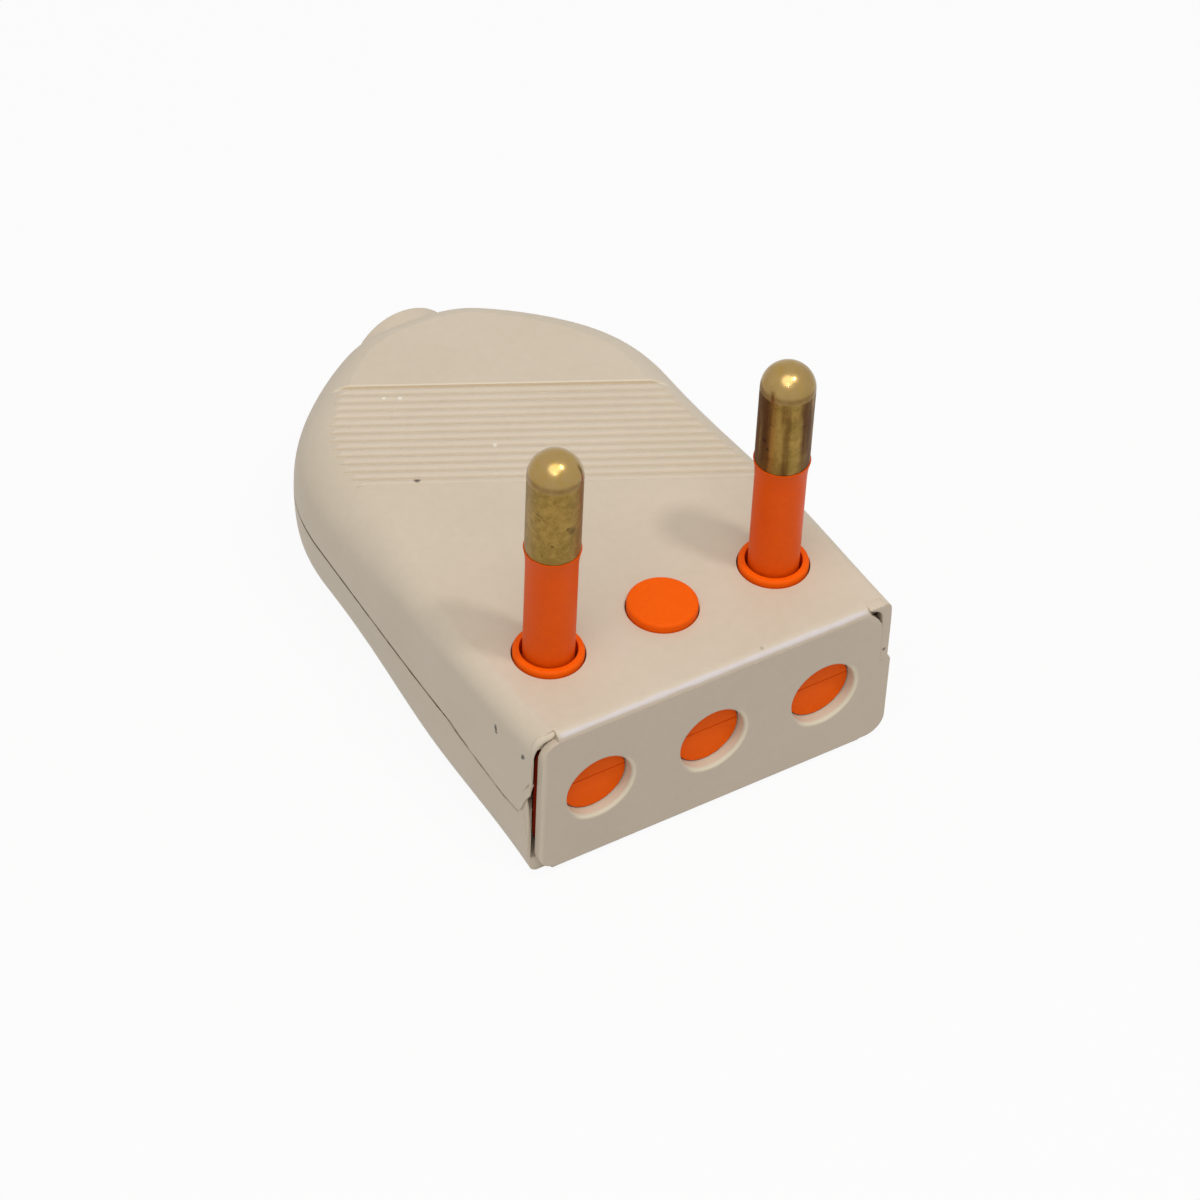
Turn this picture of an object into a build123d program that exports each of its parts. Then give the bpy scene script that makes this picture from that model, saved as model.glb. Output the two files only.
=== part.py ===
import os
from math import atan, cos, degrees, radians, sin, sqrt, tan

from build123d import *

# Two-pin plug with a folded one-piece cover round an orange pin carrier.
# Millimetres. Z points along the pins, Y towards the cord end, X along the row of pins.
# The origin is on the underside, straight below the midpoint between the two pins.

# Body
side_margin = 6.0
front_taper = 0.65
body_height = 13.8
front_to_pins = 7.6
shoulder_to_pins = 23.0
nose_length = 14.9
wall = 1.4
clearance = 0.1

# Pins
pin_spacing = 19.0
pin_diameter = 4.0
pin_length = 19.0
sleeve_length = 10.4
sleeve_diameter = 3.78
sleeve_bore = 3.2
lip_flare = 0.19
lip_length = 1.6

# Edge rounding from the front to the cord end, one value for each station of the outline
upper_round = (2.2, 2.2, 4.3, 4.3, 3.4, 2.9)
right_front_round = 0.5
lower_round_in = (0.7, 3.9, 5.8, 5.2, 6.1, 7.0)
lower_round_up = (0.7, 3.6, 6.6, 6.4, 6.6, 6.6)
least_inner_round = 0.2
nose_angles = (35, 65, 90)
flank_station = 0.5
round_steps = (0, 0.05, 0.16, 0.34, 0.6, 1)
round_turn = 0.97

# Front plate and its two folds
plate_thickness = 1.2
wing_thickness = 0.67
fold_inset = 1.75
fold_radius = 0.8
hinge_web = 0.8
plate_left_inset = 0.45
plate_right_overhang = 0.35
plate_step = 0.6
wing_corner = 1.6
torn_corner = 1.3
lug_width = 0.55
lug_drop = 5.7
wall_end_gap = 0.13
lead_in_depth = 2.0
lead_in_lip = 0.15

# Mouth at the front of each side wall, where the two shells gape at the seam
mouth_top_drop = 4.2
mouth_bottom_drop = 10.7
upper_mouth_depth = 1.7
lower_mouth_depth = 0.65
mouth_corner = 0.45

# Grip ribs across the top, which slant to the right
grip_to_pins = 21.5
grip_angle = -27.1
grip_pitch = 0.85
grip_count = 13
grip_depth = 0.28
grip_sink = 0.03
grip_round = 0.42

# Seam between the upper and the lower shell, which rises towards the cord
seam_drop = 7.5
seam_angle = 3.6
seam_gap = 0.16

# Openings in the cover
top_hole_diameter = 5.42
front_hole_diameter = 5.4
front_hole_drop = 6.85
front_rim_round = 0.25

# Cord outlet
outlet_diameter = 8.6
outlet_bore = 6.4
outlet_drop = 4.8
outlet_proud = 0.3
outlet_depth = 7.0
outlet_rim_round = 0.2

# Pin carrier
carrier_depth = 15.0
split_over_holes = 0.4
collar_diameter = 5.2
collar_proud = 0.5
collar_round = 0.25
blank_diameter = 5.24
blank_proud = 0.65
boss_diameter = 5.15
boss_recess = 0.9
carrier_gap = 0.08
carrier_lower_round = 2.4
carrier_upper_round = 1.8
tongue_length = 35.5
tongue_width = 17.0
tongue_thickness = 1.8
tongue_corner = 1.6

# Terminals
flange_diameter = 7.2
flange_thickness = 1.2
pillar_diameter = 5.6
pillar_bottom = 3.3
wire_hole_diameter = 2.4
wire_hole_height = 5.3
wire_hole_over_channel = 0.6
wire_channel_clearance = 0.3
terminal_screw_diameter = 3.0
terminal_head_diameter = 4.6
terminal_head_height = 1.2
terminal_screw_length = 1.4
thread_clearance = 0.04

# Cord clamp
clamp_to_pins = 26.0
clamp_screw_spacing = 12.8
clamp_bar_length = 17.6
clamp_bar_width = 5.0
clamp_bar_height = 2.6
clamp_post_diameter = 4.8
clamp_post_top = 8.2
clamp_cord_diameter = 5.2
clamp_cord_height = 7.0
clamp_screw_diameter = 2.4
clamp_screw_length = 6.0
clamp_head_diameter = 4.4
clamp_head_height = 1.2
clamp_tooth = 0.8

# Cover screw
cover_screw_to_pins = 14.0
cover_screw_diameter = 3.0
cover_screw_length = 9.6
cover_head_diameter = 5.4
cover_head_height = 1.6
cover_head_recess = 2.2
cover_boss_diameter = 8.2
cover_boss_top = 4.4
cover_post_diameter = 6.6
cover_post_gap = 0.2

slot_width = 0.8
slot_depth = 0.6

# Values worked out from the driving dimensions
half_width = pin_spacing / 2 + side_margin
front_half_width = half_width - front_taper
fold_width = 2 * (front_half_width - fold_inset)
plate_left = front_half_width - plate_left_inset
plate_right = front_half_width + plate_right_overhang
lead_in_width = wall - lead_in_lip
lug_inside = front_half_width - lug_width
front_y = -front_to_pins
plate_back_y = front_y + plate_thickness
wing_back_y = front_y + wing_thickness
wall_front_y = wing_back_y + wall_end_gap
rear_y = shoulder_to_pins + nose_length
inner_front_half_width = front_half_width - wall
carrier_half_width = inner_front_half_width - clearance
carrier_front_y = plate_back_y + clearance
carrier_rear_y = carrier_front_y + carrier_depth
carrier_top = body_height - wall - clearance
pin_places = (("left", -pin_spacing / 2), ("right", pin_spacing / 2))
clamp_places = (("left", -clamp_screw_spacing / 2), ("right", clamp_screw_spacing / 2))
boss_places = (-pin_spacing / 2, 0, pin_spacing / 2)
boss_front_y = front_y + boss_recess
front_hole_height = body_height - front_hole_drop
carrier_split = front_hole_height + split_over_holes
outlet_height = body_height - outlet_drop
base_top = carrier_split - carrier_gap / 2
cap_bottom = carrier_split + carrier_gap / 2
flange_bottom = carrier_split
flange_top = flange_bottom + flange_thickness
sleeve_top = body_height + sleeve_length
pin_tip = body_height + pin_length
sleeve_bottom = flange_top + clearance / 2
lip_top = sleeve_top - clearance / 2
lip_radius = sleeve_diameter / 2 + lip_flare
lead_in_front_y = wall_front_y - wall_end_gap / 2
tongue_top = wall + clearance + tongue_thickness
tongue_end_y = carrier_front_y + tongue_length
clamp_bar_bottom = clamp_post_top + clearance
clamp_bar_top = clamp_bar_bottom + clamp_bar_height
hinge_groove_radius = (fold_radius + sqrt((wall - fold_radius) ** 2
                       + (plate_thickness - fold_radius) ** 2) - hinge_web)
seam_plane = Plane((0, 0, body_height - seam_drop), x_dir=(1, 0, 0),
                   z_dir=(0, -sin(radians(seam_angle)), cos(radians(seam_angle))))
lead_in_angle = degrees(atan(lead_in_width / (wall_front_y + lead_in_depth - lead_in_front_y)))
rim_half_width = (inner_front_half_width + lead_in_width - clearance
                  - (carrier_front_y - lead_in_front_y) * tan(radians(lead_in_angle)))
rim_depth = (rim_half_width - carrier_half_width) / tan(radians(lead_in_angle))
grip_along = (cos(radians(grip_angle)), sin(radians(grip_angle)), 0)
grip_across = (-sin(radians(grip_angle)), cos(radians(grip_angle)), 0)


def quarter_inset(depth, reach_in, reach_up):
    # how far an elliptical edge rounding stands back at a depth below its flat face
    if depth >= reach_up:
        return 0
    return reach_in * (1 - sqrt(1 - (round_turn * (1 - depth / reach_up)) ** 2))


def outline_points(height, inset, start_y, front_round):
    # one half of the plan outline at a height, stood back by an inset
    flank_y = start_y + flank_station * (shoulder_to_pins - start_y)
    places = [((front_half_width, start_y), (1, 0)), ((half_width, flank_y), (1, 0)),
              ((half_width, shoulder_to_pins), (1, 0))]
    for angle in nose_angles:
        across, along = cos(radians(angle)), sin(radians(angle))
        place = (half_width * across, shoulder_to_pins + nose_length * along)
        slope = sqrt((across / half_width) ** 2 + (along / nose_length) ** 2)
        places.append((place, (across / half_width / slope, along / nose_length / slope)))
    points = []
    for (place, outward), upper, lower_in, lower_up in zip(
            places, (front_round,) + upper_round[1:], lower_round_in, lower_round_up):
        top_reach = max(upper - inset, least_inner_round)
        from_top = quarter_inset(body_height - inset - height, top_reach, top_reach)
        from_bottom = quarter_inset(height - inset, max(lower_in - inset, least_inner_round),
                                    max(lower_up - inset, least_inner_round))
        back = inset + from_top + from_bottom
        points.append((place[0] - back * outward[0], place[1] - back * outward[1]))
    return points


def plan_outline(height, inset, start_y):
    right = outline_points(height, inset, start_y, right_front_round)
    left = [(-x, y) for x, y in outline_points(height, inset, start_y, upper_round[0])]
    right[-1] = left[-1] = (0, right[-1][1])
    taper, left_taper = [(abs(half[1][0]) - abs(half[0][0])) / (half[1][1] - half[0][1])
                         for half in (right, left)]
    with BuildSketch() as plan:
        with BuildLine():
            Line(left[0], right[0])
            Spline(*right[:3], tangents=((taper, 1), (0, 1)))
            Spline(*right[2:], tangents=((0, 1), (-1, 0)))
            Spline(*left[:3], tangents=((-left_taper, 1), (0, 1)))
            Spline(*left[2:], tangents=((0, 1), (1, 0)))
        make_face()
    return plan.sketch


def hull(inset, start_y):
    # the rounded body form, stood back by an inset on every side and cut off flat at the front
    heights = [inset + (max(lower_round_up) - inset) * step for step in round_steps]
    heights += [body_height - inset - (max(upper_round) - inset) * step
                for step in reversed(round_steps)]
    sections = [plan_outline(height, inset, start_y - wall) for height in heights]
    with BuildPart() as form:
        for height, section in zip(heights, sections):
            with BuildSketch(Plane.XY.offset(height)):
                add(section)
        loft()
        split(bisect_by=Plane.XZ.offset(-start_y), keep=Keep.BOTTOM)
    return form.part


def seam_height(y):
    return body_height - seam_drop + y * tan(radians(seam_angle))


upper_mouth_y = wall_front_y + upper_mouth_depth
lower_mouth_y = wall_front_y + lower_mouth_depth
upper_corner = (upper_mouth_y, seam_height(upper_mouth_y))
lower_corner = (lower_mouth_y, seam_height(lower_mouth_y))
mouth_slope = (mouth_top_drop - body_height + upper_corner[1]) / (upper_mouth_y - lead_in_front_y)
corner_front = (upper_mouth_y - mouth_corner, upper_corner[1] - mouth_corner * mouth_slope)
corner_back = (upper_mouth_y + mouth_corner,
               seam_height(upper_mouth_y + mouth_corner) + seam_gap / 2)

os.makedirs("parts", exist_ok=True)

outer_form = hull(0, front_y)
inner_form = hull(wall, plate_back_y)
seam_outside = plan_outline(body_height / 2, -wall, wall_front_y - wall_end_gap / 4)
seam_inside = plan_outline(body_height / 2, wall + 2 * clearance, front_y - wall)

# One folded moulding: upper shell, front plate and lower shell
with BuildPart() as cover:
    add(outer_form)
    # room for the wings of the plate in front of the side walls, all but a lug at the top right
    with BuildSketch(Plane.XZ.offset(-front_y)):
        with Locations((0, body_height / 2)):
            Rectangle(4 * half_width, 2 * body_height)
        with Locations((lug_inside + half_width, body_height)):
            Rectangle(2 * half_width, 2 * lug_drop, mode=Mode.SUBTRACT)
    extrude(amount=front_y - wall_front_y, mode=Mode.SUBTRACT)
    # cord outlet
    with BuildSketch(Plane.XZ.offset(-rear_y - outlet_proud)):
        with Locations((0, outlet_height)):
            Circle(outlet_diameter / 2)
    extrude(amount=outlet_depth)
    rims = cover.edges().filter_by(GeomType.CIRCLE).filter_by(lambda edge: edge.is_closed)
    fillet(rims.group_by(Axis.Y)[-1], outlet_rim_round)
    # upper fold, plate and lower fold in one bent strip
    with BuildSketch(Plane.YZ.offset(-fold_width / 2)):
        with Locations(((front_y + plate_back_y + clearance) / 2, body_height / 2)):
            Rectangle(plate_thickness + clearance, body_height)
    extrude(amount=fold_width)
    front_edges = cover.edges().filter_by(Axis.X).group_by(Axis.Y)[0]
    fillet(front_edges.filter_by(lambda edge: edge.length > half_width), fold_radius)
    # thin wings of the plate beyond the folds
    with BuildSketch(Plane.XZ.offset(-front_y)):
        with Locations(((plate_right - plate_left) / 2, body_height / 2)):
            RectangleRounded(plate_left + plate_right, body_height - 2 * plate_step, wing_corner)
        with Locations((lug_inside - clearance + half_width, body_height)):
            Rectangle(2 * half_width, 2 * (lug_drop + clearance), mode=Mode.SUBTRACT)
        with Locations((lug_inside, body_height - plate_step)):
            Rectangle(2 * torn_corner, 2 * torn_corner, rotation=45, mode=Mode.SUBTRACT)
    extrude(amount=-wing_thickness)
    # holes in the front plate, with a soft rim
    with BuildSketch(Plane.XZ.offset(-front_y)):
        with Locations(*[(x, front_hole_height) for x in boss_places]):
            Circle(front_hole_diameter / 2)
    extrude(amount=-2 * plate_thickness, mode=Mode.SUBTRACT)
    rims = cover.edges().filter_by(GeomType.CIRCLE).filter_by(lambda edge: edge.is_closed)
    fillet(rims.group_by(Axis.Y)[0], front_rim_round)
    add(inner_form, mode=Mode.SUBTRACT)
    # lead-in bevels inside the front ends of the side walls
    with BuildSketch(Plane.XY.offset(wall)):
        for side in (-1, 1):
            with BuildLine():
                Polyline((side * fold_width / 2, lead_in_front_y),
                         (side * (inner_front_half_width + lead_in_width), lead_in_front_y),
                         (side * inner_front_half_width, wall_front_y + lead_in_depth),
                         (side * fold_width / 2, wall_front_y + lead_in_depth), close=True)
            make_face()
    extrude(amount=body_height - 2 * wall, mode=Mode.SUBTRACT)
    # grooves that thin the two folds to living hinges
    with BuildSketch(Plane.YZ.offset(-fold_width / 2)):
        with Locations((plate_back_y, wall), (plate_back_y, body_height - wall)):
            Circle(hinge_groove_radius)
    extrude(amount=fold_width, mode=Mode.SUBTRACT)
    # holes for the pin collars and the blank
    with BuildSketch(Plane.XY.offset(body_height)):
        with Locations(*[(x, 0) for x in boss_places]):
            Circle(top_hole_diameter / 2)
    extrude(amount=-2 * wall, mode=Mode.SUBTRACT)
    # bore of the cord outlet, bevelled at its end
    with BuildSketch(Plane.XZ.offset(-rear_y - outlet_proud)):
        with Locations((0, outlet_height)):
            Circle(outlet_bore / 2)
    extrude(amount=outlet_depth, mode=Mode.SUBTRACT)
    with BuildSketch(Plane.XZ.offset(-rear_y - outlet_proud)):
        with Locations((0, outlet_height)):
            Circle(outlet_bore / 2 + outlet_rim_round)
    extrude(amount=outlet_rim_round, taper=45, mode=Mode.SUBTRACT)
    # boss and post for the cover screw
    with BuildSketch(Plane.XY.offset(wall / 2)):
        with Locations((0, cover_screw_to_pins)):
            Circle(cover_boss_diameter / 2)
    extrude(amount=cover_boss_top - wall / 2)
    with BuildSketch(Plane.XY.offset(body_height - wall / 2)):
        with Locations((0, cover_screw_to_pins)):
            Circle(cover_post_diameter / 2)
    extrude(amount=cover_boss_top + cover_post_gap + wall / 2 - body_height)
    with BuildSketch():
        with Locations((0, cover_screw_to_pins)):
            Circle(cover_head_diameter / 2 + 2 * clearance)
    extrude(amount=cover_head_recess, mode=Mode.SUBTRACT)
    with BuildSketch():
        with Locations((0, cover_screw_to_pins)):
            Circle(cover_screw_diameter / 2 + thread_clearance)
    extrude(amount=cover_head_recess + cover_screw_length + 2 * clearance, mode=Mode.SUBTRACT)
    # seam round the sides and the cord end
    with BuildSketch(seam_plane):
        add(seam_outside)
        add(seam_inside, mode=Mode.SUBTRACT)
    extrude(amount=seam_gap / 2, both=True, mode=Mode.SUBTRACT)
    # mouth in the front end of each side wall, with the corner of the upper shell rounded
    for side in (-1, 1):
        with BuildSketch(Plane.YZ.offset(side * fold_width / 2)):
            with BuildLine():
                Polyline((lead_in_front_y, body_height - mouth_top_drop), upper_corner,
                         lower_corner, (lead_in_front_y, body_height - mouth_bottom_drop),
                         close=True)
            make_face()
            with BuildLine():
                Bezier(corner_front, upper_corner, corner_back)
                Polyline(corner_back, upper_corner, corner_front)
            make_face()
        extrude(amount=side * (half_width - fold_width / 2), mode=Mode.SUBTRACT)
    # grip ribs, left standing between shallow grooves
    with BuildSketch(Plane((0, grip_to_pins, body_height), x_dir=grip_across, z_dir=grip_along)):
        with Locations((0, (wall - grip_depth) / 2)):
            Rectangle(grip_count * grip_pitch, wall + grip_depth)
        with Locations((0, -grip_sink - grip_round)):
            with GridLocations(grip_pitch, 0, grip_count, 1):
                Circle(grip_round, mode=Mode.SUBTRACT)
    extrude(amount=2 * half_width, both=True, mode=Mode.SUBTRACT)
cover.part.label = "cover"

# The carrier is moulded in two halves that meet at the line across its front bosses
with BuildPart() as carrier_block:
    with BuildSketch(Plane.XZ.offset(-carrier_front_y)):
        with Locations((0, body_height / 2)):
            Rectangle(2 * carrier_half_width, body_height - 2 * (wall + clearance))
        fillet(vertices().group_by(Axis.Y)[0], carrier_lower_round)
        fillet(vertices().group_by(Axis.Y)[-1], carrier_upper_round)
    extrude(amount=-carrier_depth)
    with BuildSketch(Plane.XZ.offset(-boss_front_y)):
        with Locations(*[(x, front_hole_height) for x in boss_places]):
            Circle(boss_diameter / 2)
    extrude(amount=boss_front_y - carrier_front_y - wall)
    # tapered rim that seats in the lead-in of the side walls
    with BuildSketch(Plane.XZ.offset(-carrier_front_y)):
        with Locations((0, body_height / 2)):
            Rectangle(2 * rim_half_width, body_height - 2 * (wall + clearance))
        fillet(vertices().group_by(Axis.Y)[0], carrier_lower_round)
        fillet(vertices().group_by(Axis.Y)[-1], carrier_upper_round)
    extrude(amount=-rim_depth, taper=lead_in_angle)

with BuildPart() as carrier_base:
    add(carrier_block.part)
    split(bisect_by=Plane.XY.offset(base_top), keep=Keep.BOTTOM)
    # tongue that carries the cord clamp
    with BuildSketch(Plane.XY.offset(wall + clearance)):
        with Locations((0, (carrier_rear_y + tongue_end_y) / 2 - wall)):
            RectangleRounded(tongue_width, tongue_end_y - carrier_rear_y + 2 * wall, tongue_corner)
    extrude(amount=tongue_thickness)
    # chambers for the terminals, open below for the screwdriver, and their wire channels
    with BuildSketch():
        with Locations(*[(x, 0) for side, x in pin_places]):
            Circle(pillar_diameter / 2 + clearance)
    extrude(amount=base_top, mode=Mode.SUBTRACT)
    with BuildSketch(Plane.XY.offset(wire_hole_height - wire_hole_diameter / 2)):
        for side, x in pin_places:
            with Locations((x, carrier_rear_y / 2)):
                Rectangle(wire_hole_diameter + 2 * wire_channel_clearance, carrier_rear_y)
    extrude(amount=base_top, mode=Mode.SUBTRACT)
    # opening round the boss of the cover screw
    with BuildSketch():
        with Locations((0, cover_screw_to_pins)):
            Circle(cover_boss_diameter / 2 + 2 * clearance)
    extrude(amount=base_top, mode=Mode.SUBTRACT)
    # posts and teeth of the cord clamp
    with BuildSketch(Plane.XY.offset(wall + clearance)):
        with Locations(*[(x, clamp_to_pins) for side, x in clamp_places]):
            Circle(clamp_post_diameter / 2)
    extrude(amount=clamp_post_top - wall - clearance)
    with BuildSketch(Plane.XY.offset(clamp_post_top)):
        with Locations(*[(x, clamp_to_pins) for side, x in clamp_places]):
            Circle(clamp_screw_diameter / 2 + thread_clearance)
    extrude(amount=-clamp_screw_length, mode=Mode.SUBTRACT)
    with BuildSketch(Plane.YZ):
        with Locations((clamp_to_pins - clamp_bar_width / 4, tongue_top),
                       (clamp_to_pins + clamp_bar_width / 4, tongue_top)):
            Circle(clamp_tooth)
    extrude(amount=clamp_cord_diameter / 2, both=True)
carrier_base.part.label = "carrier_base"

with BuildPart() as carrier_cap:
    add(carrier_block.part)
    split(bisect_by=Plane.XY.offset(cap_bottom), keep=Keep.TOP)
    # collars round the sleeves and the blank between them
    with BuildSketch(Plane.XY.offset(carrier_top)):
        with Locations(*[(x, 0) for side, x in pin_places]):
            Circle(collar_diameter / 2)
    extrude(amount=body_height + collar_proud - carrier_top)
    with BuildSketch(Plane.XY.offset(carrier_top)):
        Circle(blank_diameter / 2)
    extrude(amount=body_height + blank_proud - carrier_top)
    rims = carrier_cap.edges().filter_by(GeomType.CIRCLE)
    fillet(rims.filter_by_position(Axis.Z, body_height, body_height + pin_length), collar_round)
    # bores that the sleeved pins pass through, and recesses for the pin flanges
    with BuildSketch(Plane.XY.offset(cap_bottom)):
        with Locations(*[(x, 0) for side, x in pin_places]):
            Circle(max(pin_diameter / 2, lip_radius) + clearance / 2)
    extrude(amount=body_height, mode=Mode.SUBTRACT)
    with BuildSketch(Plane.XY.offset(cap_bottom)):
        with Locations(*[(x, 0) for side, x in pin_places]):
            Circle(flange_diameter / 2 + clearance)
    extrude(amount=flange_thickness + clearance, mode=Mode.SUBTRACT)
    # room over the wire channels
    with BuildSketch(Plane.XY.offset(cap_bottom)):
        for side, x in pin_places:
            with Locations((x, carrier_rear_y / 2)):
                Rectangle(wire_hole_diameter + 2 * wire_channel_clearance, carrier_rear_y)
    extrude(amount=wire_hole_over_channel, mode=Mode.SUBTRACT)
carrier_cap.part.label = "carrier_cap"

for piece in (cover, carrier_base, carrier_cap):
    export_step(piece.part, f"parts/{piece.part.label}.step")

for side, x in pin_places:
    # turned brass pin with a domed tip, a neck for the sleeve, a flange and a pillar terminal
    with BuildPart() as pin:
        with BuildSketch(Plane.XZ):
            with BuildLine():
                Polyline((0, pillar_bottom), (pillar_diameter / 2, pillar_bottom),
                         (pillar_diameter / 2, flange_bottom), (flange_diameter / 2, flange_bottom),
                         (flange_diameter / 2, flange_top), (sleeve_bore / 2, flange_top),
                         (sleeve_bore / 2, sleeve_top), (pin_diameter / 2, sleeve_top),
                         (pin_diameter / 2, pin_tip - pin_diameter / 2))
                RadiusArc((pin_diameter / 2, pin_tip - pin_diameter / 2), (0, pin_tip),
                          -pin_diameter / 2)
                Line((0, pin_tip), (0, pillar_bottom))
            make_face()
        revolve(axis=Axis.Z)
        with BuildSketch(Plane.XY.offset(pillar_bottom)):
            Circle(terminal_screw_diameter / 2)
        extrude(amount=wire_hole_height - pillar_bottom, mode=Mode.SUBTRACT)
        with BuildSketch(Plane.XZ.offset(-pillar_diameter)):
            with Locations((0, wire_hole_height)):
                Circle(wire_hole_diameter / 2)
        extrude(amount=2 * pillar_diameter, mode=Mode.SUBTRACT)

    with BuildPart() as sleeve:
        with BuildSketch(Plane.XZ):
            with BuildLine():
                Polyline((sleeve_diameter / 2, lip_top - lip_length),
                         (sleeve_diameter / 2, sleeve_bottom),
                         (sleeve_bore / 2 + thread_clearance / 2, sleeve_bottom),
                         (sleeve_bore / 2 + thread_clearance / 2, lip_top),
                         (lip_radius, lip_top))
                Bezier((lip_radius, lip_top), (sleeve_diameter / 2, lip_top - lip_length / 2),
                       (sleeve_diameter / 2, lip_top - lip_length))
            make_face()
        revolve(axis=Axis.Z)

    with BuildPart() as terminal_screw:
        with BuildSketch(Plane.XY.offset(pillar_bottom)):
            Circle(terminal_head_diameter / 2)
        extrude(amount=-terminal_head_height)
        with BuildSketch(Plane.XY.offset(pillar_bottom)):
            Circle(terminal_screw_diameter / 2 - thread_clearance)
        extrude(amount=terminal_screw_length)
        with BuildSketch(Plane.XY.offset(pillar_bottom - terminal_head_height)):
            Rectangle(terminal_head_diameter, slot_width)
        extrude(amount=slot_depth, mode=Mode.SUBTRACT)

    for piece, name in ((pin, "pin"), (sleeve, "pin_sleeve"), (terminal_screw, "terminal_screw")):
        placed = Pos(x, 0, 0) * piece.part
        placed.label = f"{name}_{side}"
        export_step(placed, f"parts/{placed.label}.step")

# Bar that holds the cord down on the tongue
with BuildPart() as cord_clamp_bar:
    with BuildSketch(Plane.XZ.offset(-clamp_to_pins - clamp_bar_width / 2)):
        with Locations((0, clamp_bar_bottom + clamp_bar_height / 2)):
            RectangleRounded(clamp_bar_length, clamp_bar_height, clamp_bar_height / 4)
        with Locations((0, clamp_cord_height)):
            Circle(clamp_cord_diameter / 2, mode=Mode.SUBTRACT)
    extrude(amount=clamp_bar_width)
    with BuildSketch(Plane.XY):
        with Locations(*[(x, clamp_to_pins) for side, x in clamp_places]):
            Circle(clamp_screw_diameter / 2 + clearance)
    extrude(amount=body_height, mode=Mode.SUBTRACT)
cord_clamp_bar.part.label = "cord_clamp_bar"
export_step(cord_clamp_bar.part, "parts/cord_clamp_bar.step")

for side, x in clamp_places:
    with BuildPart() as clamp_screw:
        with BuildSketch(Plane.XY.offset(clamp_bar_top)):
            with Locations((x, clamp_to_pins)):
                Circle(clamp_head_diameter / 2)
        extrude(amount=clamp_head_height)
        chamfer(clamp_screw.edges().group_by(Axis.Z)[-1], clamp_head_height / 3)
        with BuildSketch(Plane.XY.offset(clamp_bar_top)):
            with Locations((x, clamp_to_pins)):
                Circle(clamp_screw_diameter / 2)
        extrude(amount=-clamp_screw_length)
        with BuildSketch(Plane.XY.offset(clamp_bar_top + clamp_head_height)):
            with Locations((x, clamp_to_pins)):
                Rectangle(clamp_head_diameter, slot_width)
        extrude(amount=-slot_depth, mode=Mode.SUBTRACT)
    clamp_screw.part.label = f"clamp_screw_{side}"
    export_step(clamp_screw.part, f"parts/clamp_screw_{side}.step")

# Screw that closes the cover, put in from below
with BuildPart() as cover_screw:
    with BuildSketch(Plane.XY.offset(cover_head_recess)):
        with Locations((0, cover_screw_to_pins)):
            Circle(cover_head_diameter / 2)
    extrude(amount=-cover_head_height)
    chamfer(cover_screw.edges().group_by(Axis.Z)[0], cover_head_height / 3)
    with BuildSketch(Plane.XY.offset(cover_head_recess)):
        with Locations((0, cover_screw_to_pins)):
            Circle(cover_screw_diameter / 2)
    extrude(amount=cover_screw_length)
    with BuildSketch(Plane.XY.offset(cover_head_recess - cover_head_height)):
        with Locations((0, cover_screw_to_pins)):
            Rectangle(cover_head_diameter, slot_width)
    extrude(amount=slot_depth, mode=Mode.SUBTRACT)
cover_screw.part.label = "cover_screw"
export_step(cover_screw.part, "parts/cover_screw.step")
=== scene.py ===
import bpy
import bmesh
import math
from mathutils import Matrix, Vector


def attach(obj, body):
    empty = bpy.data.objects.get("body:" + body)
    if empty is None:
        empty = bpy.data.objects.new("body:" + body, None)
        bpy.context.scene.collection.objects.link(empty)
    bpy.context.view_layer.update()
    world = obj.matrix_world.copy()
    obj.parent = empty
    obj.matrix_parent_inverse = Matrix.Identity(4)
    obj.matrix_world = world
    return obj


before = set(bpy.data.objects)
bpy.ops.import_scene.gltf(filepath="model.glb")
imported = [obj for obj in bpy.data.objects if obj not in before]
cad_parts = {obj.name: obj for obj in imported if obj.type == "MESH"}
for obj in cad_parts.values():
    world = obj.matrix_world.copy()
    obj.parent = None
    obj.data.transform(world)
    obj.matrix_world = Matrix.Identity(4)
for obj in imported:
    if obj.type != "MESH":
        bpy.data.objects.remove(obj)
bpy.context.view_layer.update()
mm = 0.001
print("frame loaded,", len(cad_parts), "nodes")


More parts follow.
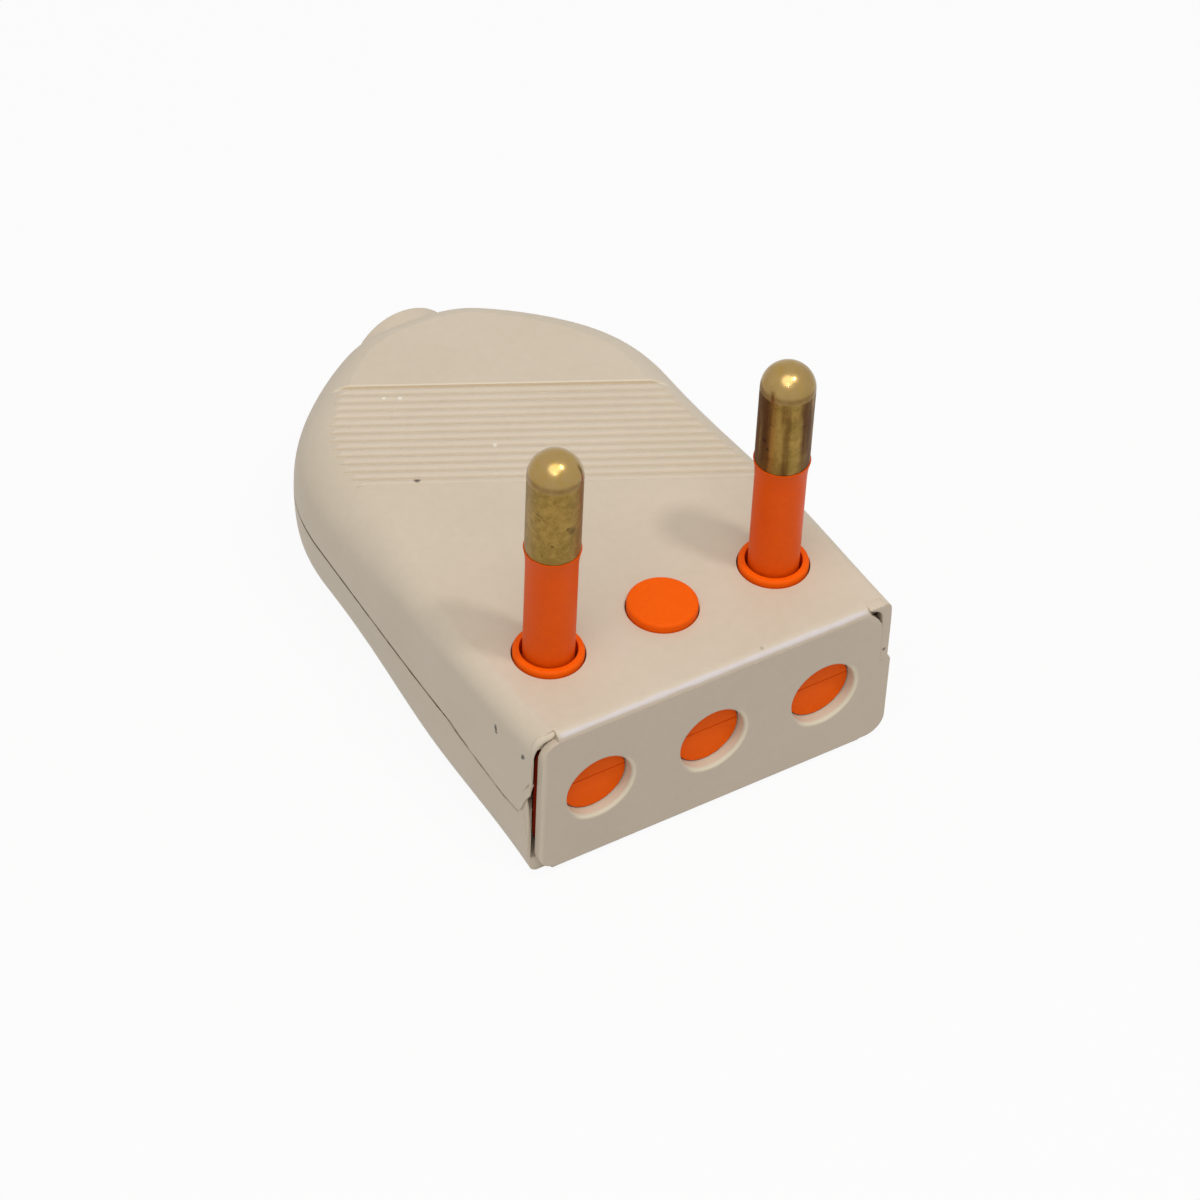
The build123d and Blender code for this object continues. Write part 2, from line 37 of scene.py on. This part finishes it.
class Shade:
    # wraps one socket, so that shader maths can be written as Python expressions
    def __init__(self, tree, socket=None):
        self.tree = tree
        self.socket = socket

    def add(self, kind, settings=None, values=None, out=0):
        node = self.tree.nodes.new("ShaderNode" + kind)
        for name, value in (settings or {}).items():
            setattr(node, name, value)
        for name, value in (values or {}).items():
            if isinstance(value, Shade):
                self.tree.links.new(value.socket, node.inputs[name])
            else:
                node.inputs[name].default_value = value
        return Shade(self.tree, node.outputs[out])

    def sum(self, operation, first, second):
        return self.add("Math", {"operation": operation}, {0: first, 1: second})

    def __add__(self, other): return self.sum("ADD", self, other)
    def __radd__(self, other): return self.sum("ADD", other, self)
    def __sub__(self, other): return self.sum("SUBTRACT", self, other)
    def __rsub__(self, other): return self.sum("SUBTRACT", other, self)
    def __mul__(self, other): return self.sum("MULTIPLY", self, other)
    def __rmul__(self, other): return self.sum("MULTIPLY", other, self)
    def __abs__(self): return self.sum("ABSOLUTE", self, 0)

    def root(self): return self.sum("POWER", self, 0.5)
    def atMost(self, other): return self.sum("MINIMUM", self, other)
    def atLeast(self, other): return self.sum("MAXIMUM", self, other)

    def smooth(self, none, full):
        # 0 up to none and 1 from full on, eased between, whichever of the two is the larger
        return self.add("MapRange", {"interpolation_type": "SMOOTHSTEP"},
                        {"Value": self, "From Min": none, "From Max": full})

    def ease(self, limits):
        # the same with both limits in millimetres
        none, full = limits
        return self.smooth(none * mm, full * mm)

    def mix(self, first, second):
        # this mask mixes two colours
        return self.add("Mix", {"data_type": "RGBA"}, {0: self, 6: colour4(first), 7: colour4(second)}, 2)

    def noise(self, size, detail, stretch=None):
        # size in metres
        where = self.add("Mapping", {}, {"Vector": self, "Scale": stretch}) if stretch else self
        return self.add("TexNoise", {}, {"Vector": where, "Scale": 1 / size, "Detail": detail, "Roughness": 0.5})

    def near(self, point, radius):
        # 1 close to a point, fading to 0 at the radius, both in millimetres
        point = tuple(v * mm for v in point)
        gap = self.add("VectorMath", {"operation": "DISTANCE"}, {0: self, 1: point}, 1)
        return gap.smooth(radius * mm, radius * mm * 0.35)


def colour4(value):
    return value if isinstance(value, Shade) else (*value, 1.0)


def linear(red, green, blue):
    # a colour read from the screen, made linear
    return tuple(v / 255 / 12.92 if v < 10.3 else ((v / 255 + 0.055) / 1.055) ** 2.4 for v in (red, green, blue))


def newMaterial(name):
    # the material, its shader, and the place on the object that its patterns follow
    material = bpy.data.materials.new(name)
    material.use_nodes = True
    tree = material.node_tree
    return material, tree.nodes["Principled BSDF"], Shade(tree).add("TexCoord", out="Object")


def feed(shader, **values):
    # sets or links the shader's sockets
    for name, value in values.items():
        socket = shader.inputs[name.replace("_", " ")]
        if isinstance(value, Shade):
            value.tree.links.new(value.socket, socket)
        else:
            socket.default_value = value


def parts(at):
    node = at.tree.nodes.new("ShaderNodeSeparateXYZ")
    at.tree.links.new(at.socket, node.inputs[0])
    return [Shade(at.tree, node.outputs[i]) for i in range(3)]


def relief(height, strength):
    # the small bumps of a moulded or turned surface
    return height.add("Bump", {}, {"Strength": strength, "Distance": 0.02 * mm, "Height": height})


def dress(piece, material):
    piece.data.materials.clear()
    piece.data.materials.append(material)


# Cream cover

cream = {
    "top": linear(216, 202, 182),
    "deep": linear(211, 197, 176),
    # painted shade: the plate's greyer colour stands in for the cooler light on the front face
    "plate": linear(205, 190, 171),
    "plateDeep": 0.95,  # share of the plate's colour in its darker patches
    "foldWhite": linear(226, 219, 223),
    "holeRimLight": linear(232, 220, 194),
    # painted light: pale rims and paler walls of the holes in the plate
    "holeWallLight": linear(211, 210, 190),
    "ribStep": linear(236, 222, 198),
    "glint": linear(252, 248, 238),
    # a dark line along the seam, and painted shadow where it runs under the hanging edge on the left
    "seamLineAndShadow": linear(112, 90, 68),
    "speck": linear(62, 50, 40),
    "patches": 8 * mm, "mottle": 0.7 * mm, "waves": 3.5 * mm, "grain": 0.14 * mm,
    # where the plate's painted shade begins and is full: through the fold, along y, and at its left edge
    "plateThrough": (0.05, -0.3), "plateDepth": (-6.9, -7.2), "plateSide": (-14.3, -13.9),
    # the fold is a quarter turn round this line, and is whitened near its outer skin
    "foldY": -6.8 * mm, "foldZ": 13.0 * mm, "foldWidth": 0.3 * mm,
    "foldInner": (0.6, 0.75), "foldOuter": (0.95, 0.86), "foldDepth": (-6.95, -7.05), "foldEnds": (13.1, 12.6),
    "holesX": (-9.5 * mm, 0.0, 9.5 * mm), "holesZ": 6.95 * mm, "holeRadius": 2.7 * mm,
    # how far from a hole's wall its painted light reaches: the pale rim, and the paler tint on the wall
    "rimReach": (0.42 * mm, 0.1 * mm), "rimSide": (0.6, -1.2), "rimDepth": (-6.2, -6.5),
    "wallReach": (0.12 * mm, 0.02 * mm), "wallDepth": (-5.9, -6.2),
    # far end of the ribbed grip: a line across the top, in millimetres and degrees
    "ribStepFrom": 24.64, "ribStepTurn": -27.1, "ribStepReach": (0.26, 0.12), "ribStepHeight": (13.2, 13.5),
    "seamZ": 6.3 * mm, "seamSlope": 0.0629, "seamReach": (0.16, 0.07), "seamWobble": 0.12 * mm,
    # lower edge of the hanging part of the upper shell
    "hangZ": 5.42 * mm, "hangSlope": 0.145, "hangFrom": -3.6 * mm, "hangFront": (-5.7, -5.3),
    "hangBack": (4.5, 3.0), "hangExtra": 0.08 * mm,
    # place, radius, strength
    "specks": [
        ((-8.69, 20.35, 13.75), 0.36, 0.9), ((-8.35, 20.52, 13.75), 0.2, 0.7),
        ((-15.17, -2.45, 10.75), 0.22, 0.85), ((-15.18, -2.40, 11.05), 0.25, 0.95),
        ((-15.18, -2.37, 11.29), 0.2, 0.85), ((-15.00, -5.90, 11.23), 0.28, 0.9),
        ((-14.98, -5.75, 11.0), 0.2, 0.8), ((4.04, -7.01, 13.8), 0.22, 0.28), ((14.53, -7.6, 9.19), 0.20, 0.8),
    ],
    "glints": [((-6.37, 29.47, 13.77), 0.2), ((-5.31, 28.9, 13.76), 0.22), ((-1.63, 21.02, 13.62), 0.2)],
    "roughness": 0.5,
}


def coverPlastic():
    material, shader, at = newMaterial("creamPolypropylene")
    x, y, z = parts(at)
    patches = at.noise(cream["patches"], 3)
    fine = at.noise(cream["mottle"], 3)
    colour = (patches * 0.6 + fine * 0.4).smooth(0.3, 0.7).mix(cream["deep"], cream["top"])
    # painted shade: the front plate is painted a little greyer and darker than the shells, standing in for the cooler
    # light on the front face
    down = y - cream["foldY"]
    rise = z - cream["foldZ"]
    through = down + rise
    plate = through.ease(cream["plateThrough"]) * y.ease(cream["plateDepth"]) * x.ease(cream["plateSide"])
    plateDeep = tuple(v * cream["plateDeep"] for v in cream["plate"])
    plateShadeColour = (patches * 0.5 + fine * 0.5).smooth(0.3, 0.7).mix(plateDeep, cream["plate"])
    colour = plate.mix(colour, plateShadeColour)
    # whitened plastic along the fold, narrow and uneven
    reach = (down * down + rise * rise).root()
    uneven = at.noise(1.6 * mm, 2) * 0.3 * mm - 0.15 * mm
    band = (abs(through) - uneven).smooth(cream["foldWidth"] * 1.4, cream["foldWidth"] * 0.3)
    band = band * reach.ease(cream["foldInner"]) * reach.ease(cream["foldOuter"])
    band = band * y.ease(cream["foldDepth"]) * abs(x).ease(cream["foldEnds"])
    colour = (band * (0.4 + at.noise(0.9 * mm, 3) * 0.6)).mix(colour, cream["foldWhite"])
    # painted light on the holes: a pale rim low on each hole for the light that falls on its thin edge and through it,
    # and a paler, less pink wall inside it
    for holeX in cream["holesX"]:
        side = x - holeX
        low = z - cream["holesZ"]
        out = (side * side + low * low).root()
        rimFrom, rimTo = [cream["holeRadius"] + reach for reach in cream["rimReach"]]
        paintedRing = out.smooth(rimFrom, rimTo) * (low - side).ease(cream["rimSide"]) * y.ease(cream["rimDepth"])
        colour = (paintedRing * 0.85).mix(colour, cream["holeRimLight"])
        wallFrom, wallTo = [cream["holeRadius"] + reach for reach in cream["wallReach"]]
        wallLight = out.smooth(wallFrom, wallTo) * y.ease(cream["wallDepth"])
        colour = (wallLight * 0.9).mix(colour, cream["holeWallLight"])
    # the step at the far end of the grip is washed out by the light in it
    turn = math.radians(cream["ribStepTurn"])
    beyond = y * math.cos(turn) - x * math.sin(turn) - cream["ribStepFrom"] * mm
    step = abs(beyond).ease(cream["ribStepReach"]) * z.ease(cream["ribStepHeight"])
    colour = (step * 0.8).mix(colour, cream["ribStep"])
    # a dark uneven line painted along the seam; on the left it follows the lower edge of the hanging edge and stands
    # in for the shadow under it, wider there where the hanging edge hides half of the seam
    hangLine = (y - cream["hangFrom"]).atLeast(0) * cream["hangSlope"] + cream["hangZ"]
    seamLine = y * cream["seamSlope"] + cream["seamZ"]
    left = x.ease((0, -2))
    wobble = (at.noise(0.8 * mm, 2) - 0.5) * cream["seamWobble"]
    toSeam = z - (hangLine.atMost(seamLine) * left + seamLine * (1 - left)) + wobble
    wider = y.ease(cream["hangBack"]) * left * cream["hangExtra"]
    seamAndShadow = (abs(toSeam) - wider).ease(cream["seamReach"]) * y.ease(cream["hangFront"])
    seamAndShadow = seamAndShadow * (0.5 + at.noise(1.4 * mm, 2).smooth(0.4, 0.56) * 0.5)
    colour = (seamAndShadow * 0.88).mix(colour, cream["seamLineAndShadow"])
    for centre, radius, strength in cream["specks"]:
        colour = (at.near(centre, radius) * strength).mix(colour, cream["speck"])
    for centre, radius in cream["glints"]:
        colour = (at.near(centre, radius) * 0.6).mix(colour, cream["glint"])
    bump = relief(at.noise(cream["grain"], 2) + at.noise(cream["waves"], 2) * 1.5, 0.2)
    feed(shader, Base_Color=colour, Roughness=cream["roughness"] + (fine - 0.5) * 0.16, Normal=bump)
    feed(shader, IOR=1.49, Specular_IOR_Level=0.4)
    return material


# Orange carrier and sleeves

orange = {
    "carrier": {"bright": (0.98, 0.126, 0.0006), "deep": (0.93, 0.114, 0.0006), "roughness": 0.5, "shine": 0.08},
    "sleeve": {"bright": (0.86, 0.103, 0.0008), "deep": (0.81, 0.092, 0.0008), "roughness": 0.45, "shine": 0.14},
    # painted shade on the orange inside the open side of the cover
    "slitShade": (0.42, 0.028, 0.006),
    "slitSide": (-12.9, -13.2), "slitDepth": (-3, -4),
    "patches": 4 * mm, "mottle": 0.4 * mm, "grain": 0.2 * mm,
}


def orangePlastic(name, tint):
    material, shader, at = newMaterial(name)
    x, y, z = parts(at)
    patches = at.noise(orange["patches"], 3)
    fine = at.noise(orange["mottle"], 2)
    colour = (patches * 0.5 + fine * 0.5).smooth(0.3, 0.7).mix(tint["deep"], tint["bright"])
    # painted shade: deeper red on the orange seen down the open side of the cover, where it lies in shade
    colour = (x.ease(orange["slitSide"]) * y.ease(orange["slitDepth"])).mix(colour, orange["slitShade"])
    bump = relief(at.noise(orange["grain"], 2) + patches, 0.2)
    feed(shader, Base_Color=colour, Roughness=tint["roughness"] + (fine - 0.5) * 0.14, Normal=bump)
    feed(shader, IOR=1.5, Specular_IOR_Level=tint["shine"])
    return material


# Tarnished brass pins

brass = {
    "polished": (0.385, 0.258, 0.098),
    "clean": (0.375, 0.239, 0.063),
    "olive": (0.256, 0.161, 0.037),
    "brown": (0.098, 0.034, 0.009),
    "spot": linear(60, 34, 22),
    "clouds": 2.4 * mm, "streaks": 0.9 * mm, "mottle": 0.6 * mm, "spots": 0.5 * mm, "fine": 0.16 * mm,
    # the polished dome begins at this height, and a painted reflection, a dark ring, lies just over it
    "domeFrom": 30.8 * mm, "domeEase": (0.22 * mm, -0.02 * mm), "ringOver": 0.25 * mm, "ringReach": (0.4, 0.05),
    # the browner pin, and the direction across it as the camera sees it, for the painted shade on its sides
    "rightPin": 9.5 * mm, "across": (0.837, 0.547), "sideReach": (0.6, 1.6),
    # place, radius, strength
    "stains": [
        ((-9.2, -2.0, 27.1), 0.45, 0.5), ((-9.56, -2.0, 27.4), 0.22, 0.6), ((-10.6, -1.7, 26.0), 0.16, 0.6),
        ((7.53, -0.35, 26.97), 0.3, 0.75), ((7.6, -0.7, 26.3), 0.2, 0.7), ((7.9, -1.3, 27.8), 0.12, 0.6),
        ((9.7, -2.0, 28.6), 0.14, 0.6),
    ],
}


def brassMetal():
    material, shader, at = newMaterial("tarnishedBrass")
    x, y, z = parts(at)
    cloud = at.noise(brass["clouds"], 4)
    streak = at.noise(brass["streaks"], 3, (1, 1, 0.1))
    fine = at.noise(brass["fine"], 3)
    mottle = at.noise(brass["mottle"], 3)
    domeFrom, domeTo = [brass["domeFrom"] + reach for reach in brass["domeEase"]]
    shank = (z + cloud * 0.25 * mm).smooth(domeFrom, domeTo)
    worn = (mottle * 0.6 + fine * 0.4).smooth(0.45, 0.7)
    dull = (cloud * 0.45 + mottle * 0.35 + fine * 0.2).smooth(0.38, 0.6)
    colour = shank.mix(worn.mix(brass["polished"], brass["clean"]), dull.mix(brass["clean"], brass["olive"]))
    # painted reflection: a dark ring just over the dome's base
    paintedRing = abs(z - (brass["domeFrom"] + brass["ringOver"])).ease(brass["ringReach"])
    colour = (paintedRing * (0.2 + mottle * 0.5)).mix(colour, brass["brown"])
    # the right pin is the browner one, from brown tarnish streaks, and its two sides as the camera sees them are
    # darkened with painted shade
    right = x.ease((0, 1))
    acrossX, acrossY = brass["across"]
    sideShade = abs((x - brass["rightPin"]) * acrossX - y * acrossY).ease(brass["sideReach"])
    tarnishAndSideShade = (streak * 0.8 + sideShade * 0.2).smooth(0.34, 0.64) * (0.05 + right * 0.87) * (0.15 + shank * 0.85)
    colour = tarnishAndSideShade.mix(colour, brass["brown"])
    spots = at.noise(brass["spots"], 2).smooth(0.68, 0.75) * shank
    colour = (spots * 0.55).mix(colour, brass["spot"])
    for centre, radius, strength in brass["stains"]:
        colour = (at.near(centre, radius) * strength * (0.5 + fine)).mix(colour, brass["spot"])
    rough = 0.19 + fine * 0.1 + shank * 0.14 + tarnishAndSideShade * 0.2
    feed(shader, Base_Color=colour, Roughness=rough, Normal=relief(fine + streak * 0.4, 0.3))
    feed(shader, Metallic=1.0)
    return material


# Plated steel of the inner screws

steel = {"light": (0.60, 0.60, 0.58), "dull": (0.42, 0.42, 0.40), "mottle": 0.35 * mm}


def steelMetal():
    material, shader, at = newMaterial("platedSteel")
    fine = at.noise(steel["mottle"], 3)
    feed(shader, Base_Color=fine.smooth(0.3, 0.7).mix(steel["dull"], steel["light"]), Roughness=0.3 + fine * 0.2)
    feed(shader, Metallic=1.0)
    return material


creamSkin = coverPlastic()
carrierSkin = orangePlastic("orangeMoulding", orange["carrier"])
sleeveSkin = orangePlastic("orangeSleeve", orange["sleeve"])
brassSkin = brassMetal()
steelSkin = steelMetal()
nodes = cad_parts
dress(nodes["cover"], creamSkin)
for name in ("carrier_base", "carrier_cap"):
    dress(nodes[name], carrierSkin)
dress(nodes["cord_clamp_bar"], carrierSkin)
for side in ("left", "right"):
    dress(nodes["pin_" + side], brassSkin)
    dress(nodes["pin_sleeve_" + side], sleeveSkin)
    dress(nodes["terminal_screw_" + side], steelSkin)
    dress(nodes["clamp_screw_" + side], steelSkin)
dress(nodes["cover_screw"], steelSkin)
print("materials done")

# Torn and pressed edges of the cover, all places in millimetres


def finish(piece, *modifiers):
    # adds each modifier, applies it, smooths the piece and gives it to the plug
    bpy.context.view_layer.objects.active = piece
    for kind, settings in modifiers:
        modifier = piece.modifiers.new(kind.lower(), kind)
        for name, value in settings.items():
            setattr(modifier, name, value)
        bpy.ops.object.modifier_apply(modifier=modifier.name)
    bpy.ops.object.mode_set(mode="EDIT")
    bpy.ops.mesh.select_all(action="SELECT")
    bpy.ops.mesh.normals_make_consistent(inside=False)
    bpy.ops.object.mode_set(mode="OBJECT")
    bpy.ops.object.shade_smooth_by_angle(angle=math.radians(50))
    dress(piece, creamSkin)
    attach(piece, "root")


def pull(piece, places):
    # picks one corner after another and moves it to its place
    bpy.ops.object.mode_set(mode="EDIT")
    for index, goal in enumerate(places):
        bpy.ops.mesh.select_all(action="DESELECT")
        mesh = bmesh.from_edit_mesh(piece.data)
        mesh.verts.ensure_lookup_table()
        corner = mesh.verts[index]
        corner.select_set(True)
        mesh.select_flush_mode()
        bpy.ops.transform.translate(value=Vector(goal) * mm - corner.co)
    bpy.ops.object.mode_set(mode="OBJECT")


def skin(name, rows):
    # thin skin over rows of places, in the order that turns its faces outwards
    bpy.ops.object.select_all(action="DESELECT")
    bpy.ops.mesh.primitive_grid_add(x_subdivisions=len(rows[0]) - 1, y_subdivisions=len(rows) - 1, size=2 * mm)
    piece = bpy.context.object
    piece.name = name
    pull(piece, [goal for row in rows for goal in row])
    return piece


def thicken(piece, thickness):
    # gives a skin its thickness inwards and rounds its edges
    finish(piece, ("SOLIDIFY", {"thickness": thickness * mm, "offset": -1.0}),
           ("SUBSURF", {"levels": 2, "render_levels": 2}))


def cornerBlock(name, block):
    # outline as seen from the front or from the left side, given its depth
    outline, fromSide = block["outline"], block.get("fromSide", False)
    front, back = block["depth"]
    bpy.ops.object.select_all(action="DESELECT")
    bpy.ops.mesh.primitive_circle_add(vertices=len(outline), radius=2 * mm, fill_type="NGON")
    piece = bpy.context.object
    piece.name = name
    pull(piece, [(front, a, z) if fromSide else (a, front, z) for a, z in outline])
    bpy.ops.object.mode_set(mode="EDIT")
    bpy.ops.mesh.select_all(action="SELECT")
    depth = (back - front) * mm
    way = (depth, 0, 0) if fromSide else (0, depth, 0)
    bpy.ops.mesh.extrude_region_move(TRANSFORM_OT_translate={"value": way})
    bpy.ops.object.mode_set(mode="OBJECT")
    finish(piece, ("BEVEL", {"width": 0.07 * mm, "segments": 3, "limit_method": "ANGLE",
                             "angle_limit": math.radians(50)}))


# The upper shell hangs a little outside the lower one at the left

hangingEdge = {
    # place along y, and height of the lower edge there
    "lowerEdge": [
        (3.6, 6.47), (2.2, 6.24), (0.6, 5.98), (-0.8, 5.80), (-2.16, 5.56), (-3.23, 5.45), (-4.0, 5.47),
        (-4.5, 5.50), (-4.95, 5.42), (-5.35, 5.46), (-5.65, 5.62), (-5.92, 5.95), (-6.12, 6.40), (-6.30, 6.95),
        (-6.52, 7.45), (-6.72, 7.85),
    ],
    "top": 9.0,
    # share of the height, and how far the skin stands out of the cover there
    "bulge": ((0.0, 0.11), (0.03, 0.125), (0.12, 0.11), (0.35, 0.07), (0.6, 0.01), (0.8, -0.1), (1.0, -0.22)),
    # it dives into the cover over this length, towards the cord end
    "diveFrom": 4.0, "diveLength": 2.5,
    "thickness": 0.30,
}


def coverSide(y):
    # the cover's own left side: wider towards the middle, drawn in at the front corner
    return -(15.245 + 0.042 * y - 0.0005 * y * y - max(0.0, -5.6 - y) * 0.03)


def hangingRows():
    rows = []
    for share, proud in hangingEdge["bulge"]:
        row = []
        for y, low in hangingEdge["lowerEdge"]:
            out = proud * min(1.0, (hangingEdge["diveFrom"] - y) / hangingEdge["diveLength"])
            row.append((coverSide(y) - out, y, low + (hangingEdge["top"] - low) * share))
        rows.append(row)
    return rows


# Ragged lip from the notch at the fold, down the left end of the upper shell

tornLip = {
    # root, turn and ragged edge of each rib
    "ribs": [
        ((-12.98, -6.45, 13.60), (-13.05, -6.95, 13.74), (-13.08, -7.16, 13.44)),
        ((-13.30, -6.45, 13.60), (-13.34, -7.00, 13.72), (-13.45, -7.20, 13.28)),
        ((-13.70, -6.45, 13.58), (-13.74, -7.00, 13.66), (-13.82, -7.18, 13.22)),
        ((-14.10, -6.45, 13.50), (-14.14, -6.98, 13.52), (-14.12, -7.12, 13.02)),
        ((-14.50, -6.45, 13.30), (-14.48, -6.96, 13.24), (-14.34, -7.04, 12.72)),
        ((-14.78, -6.45, 12.90), (-14.76, -6.94, 12.80), (-14.54, -6.98, 12.36)),
        ((-14.90, -6.45, 12.40), (-14.90, -6.90, 12.20), (-14.66, -6.93, 11.90)),
        ((-14.92, -6.45, 11.60), (-14.94, -6.88, 11.50), (-14.70, -6.92, 11.42)),
        ((-14.93, -6.45, 11.20), (-14.96, -6.87, 11.16), (-14.82, -6.90, 11.14)),
        ((-14.93, -6.45, 10.50), (-14.97, -6.87, 10.48), (-14.86, -6.89, 10.46)),
        ((-14.93, -6.45, 9.90), (-14.97, -6.87, 9.88), (-14.72, -6.90, 9.86)),
        ((-14.93, -6.45, 9.30), (-14.98, -6.88, 9.28), (-14.64, -6.92, 9.22)),
        ((-14.88, -6.45, 8.90), (-14.92, -6.84, 8.88), (-14.80, -6.88, 8.84)),
        ((-14.80, -6.40, 8.60), (-14.84, -6.70, 8.58), (-14.82, -6.74, 8.56)),
    ],
    "thickness": 0.34,
}

hangingSkin = skin("hanging_edge_left", hangingRows())
lipSkin = skin("torn_lip_left", [[rib[step] for rib in tornLip["ribs"]] for step in range(3)])
thicken(hangingSkin, hangingEdge["thickness"])
thicken(lipSkin, tornLip["thickness"])

# Corner of the upper shell on the right, seen from the front

shellCorner = {
    "outline": [
        (12.98, 13.79), (13.9, 13.79), (14.5, 13.76), (14.62, 13.3), (14.62, 8.0), (14.24, 8.0), (14.22, 10.2),
        (14.2, 12.0), (14.12, 12.75), (13.92, 13.12), (13.62, 13.36), (13.3, 13.5), (13.0, 13.62),
    ],
    "depth": (-7.59, -6.7),
}

# Torn corner of the front plate under it

plateCorner = {
    "outline": [
        (12.95, 12.3), (13.02, 13.08), (13.14, 13.2), (13.4, 12.94), (13.6, 12.66), (13.84, 12.44), (14.0, 12.16),
        (14.16, 11.9), (14.27, 11.3), (14.3, 9.6), (14.3, 7.9), (13.4, 7.9), (13.0, 10.4),
    ],
    "depth": (-7.585, -7.0),
}

# Rounded shoulder of the plate beside the end of the right wall

plateShoulder = {
    "outline": [
        (14.1, 7.7), (15.12, 7.7), (15.15, 8.0), (15.08, 8.26), (14.96, 8.44), (14.8, 8.56), (14.5, 8.62), (14.1, 8.5),
    ],
    "depth": (-7.59, -7.0),
}

# Top corner of the lower shell on the left, seen from the side

lowerCorner = {
    "outline": [
        (-6.8, 3.4), (-6.74, 4.8), (-6.64, 5.8), (-6.5, 6.6), (-6.32, 7.15), (-6.0, 7.25), (-5.6, 7.0), (-5.4, 5.2),
        (-5.5, 4.0),
    ],
    "depth": (-14.93, -14.7),
    "fromSide": True,
}

cornerBlock("shell_corner_right", shellCorner)
cornerBlock("plate_corner_right", plateCorner)
cornerBlock("plate_shoulder_right", plateShoulder)
cornerBlock("lower_corner_left", lowerCorner)
print("torn edges done")

# Camera at the photograph's angle

view = {
    "place": (-134.577, -197.846, 244.365),
    "right": (0.85496, -0.51746, 0.03564),
    "up": (0.33723, 0.60676, 0.71980),
    "forward": (0.39410, 0.60338, -0.69326),
    "lens": 138.747,
}
scene = bpy.context.scene
lensData = bpy.data.cameras.new("camera")
lensData.sensor_fit = "HORIZONTAL"
lensData.sensor_width = 36
lensData.lens = view["lens"]
lensData.clip_start = 0.01
lensData.clip_end = 20
camera = bpy.data.objects.new("camera", lensData)
scene.collection.objects.link(camera)
turn = Matrix((view["right"], view["up"], [-v for v in view["forward"]])).transposed().to_4x4()
turn.translation = Vector(view["place"]) * mm
camera.matrix_world = turn
scene.camera = camera

# Floor, world and lamps

studio = {
    "world": 0.42,
    "board": (0.66, 0.66, 0.66, 1),
    "boardGlow": 0.93,  # how much of the board the camera sees as plain white
    "white": (1, 1, 1, 1),
    "floorSize": 6,
    "aim": (0, 8 * mm, 10 * mm),
    "lamps": [
        # name, direction to it, distance, size, power, colour
        ("keyLamp", (3.6, -6.3, 17), 0.35, 0.035, 0.24, (1.0, 0.97, 0.93)),
        ("overheadLamp", (-0.3, -0.3, 1), 0.7, 0.55, 1.8, (1.0, 0.985, 0.955)),
        ("cameraLamp", (-0.46, -0.69, 1.0), 0.5, 0.022, 0.085, (1.0, 0.98, 0.95)),
    ],
}


def makeLamp(name, direction, distance, size, power, colour):
    data = bpy.data.lights.new(name, "AREA")
    data.shape = "DISK"
    data.size = size
    data.energy = power
    data.color = colour
    lamp = bpy.data.objects.new(name, data)
    scene.collection.objects.link(lamp)
    ray = Vector(direction).normalized()
    lamp.location = Vector(studio["aim"]) + ray * distance
    lamp.rotation_euler = ray.to_track_quat("Z", "Y").to_euler()


def backdropRays(s):
    # 1 where the camera, a reflection or a clear piece looks at the backdrop
    seen = s.add("LightPath", out="Is Camera Ray").atLeast(s.add("LightPath", out="Is Glossy Ray"))
    return seen.atLeast(s.add("LightPath", out="Is Transmission Ray"))


def whiteFloor():
    # pale board that is seen as the white backdrop and keeps the soft shadow
    material = bpy.data.materials.new("paleBoard")
    material.use_nodes = True
    tree = material.node_tree
    tree.nodes.remove(tree.nodes["Principled BSDF"])
    s = Shade(tree)
    board = s.add("BsdfDiffuse", {}, {"Color": studio["board"]})
    glow = s.add("Emission", {}, {"Color": studio["white"], "Strength": 1.0})
    mixed = s.add("MixShader", {}, {0: backdropRays(s) * studio["boardGlow"], 1: board, 2: glow})
    tree.links.new(mixed.socket, tree.nodes["Material Output"].inputs["Surface"])
    return material


def whiteWorld():
    # plain white behind the object, dimmer as a light on it
    world = bpy.data.worlds.new("studioWorld")
    world.use_nodes = True
    tree = world.node_tree
    strength = studio["world"] + backdropRays(Shade(tree)) * (1 - studio["world"])
    background = tree.nodes["Background"]
    background.inputs["Color"].default_value = studio["white"]
    tree.links.new(strength.socket, background.inputs["Strength"])
    return world


for lamp in studio["lamps"]:
    makeLamp(*lamp)
bpy.ops.object.select_all(action="DESELECT")
bpy.ops.mesh.primitive_plane_add(size=studio["floorSize"], location=(0, 0, 0))
floor = bpy.context.object
floor.name = "floor"
floor.data.materials.append(whiteFloor())
scene.world = whiteWorld()
scene.view_settings.view_transform = "Standard"
print("camera, floor and lamps done")
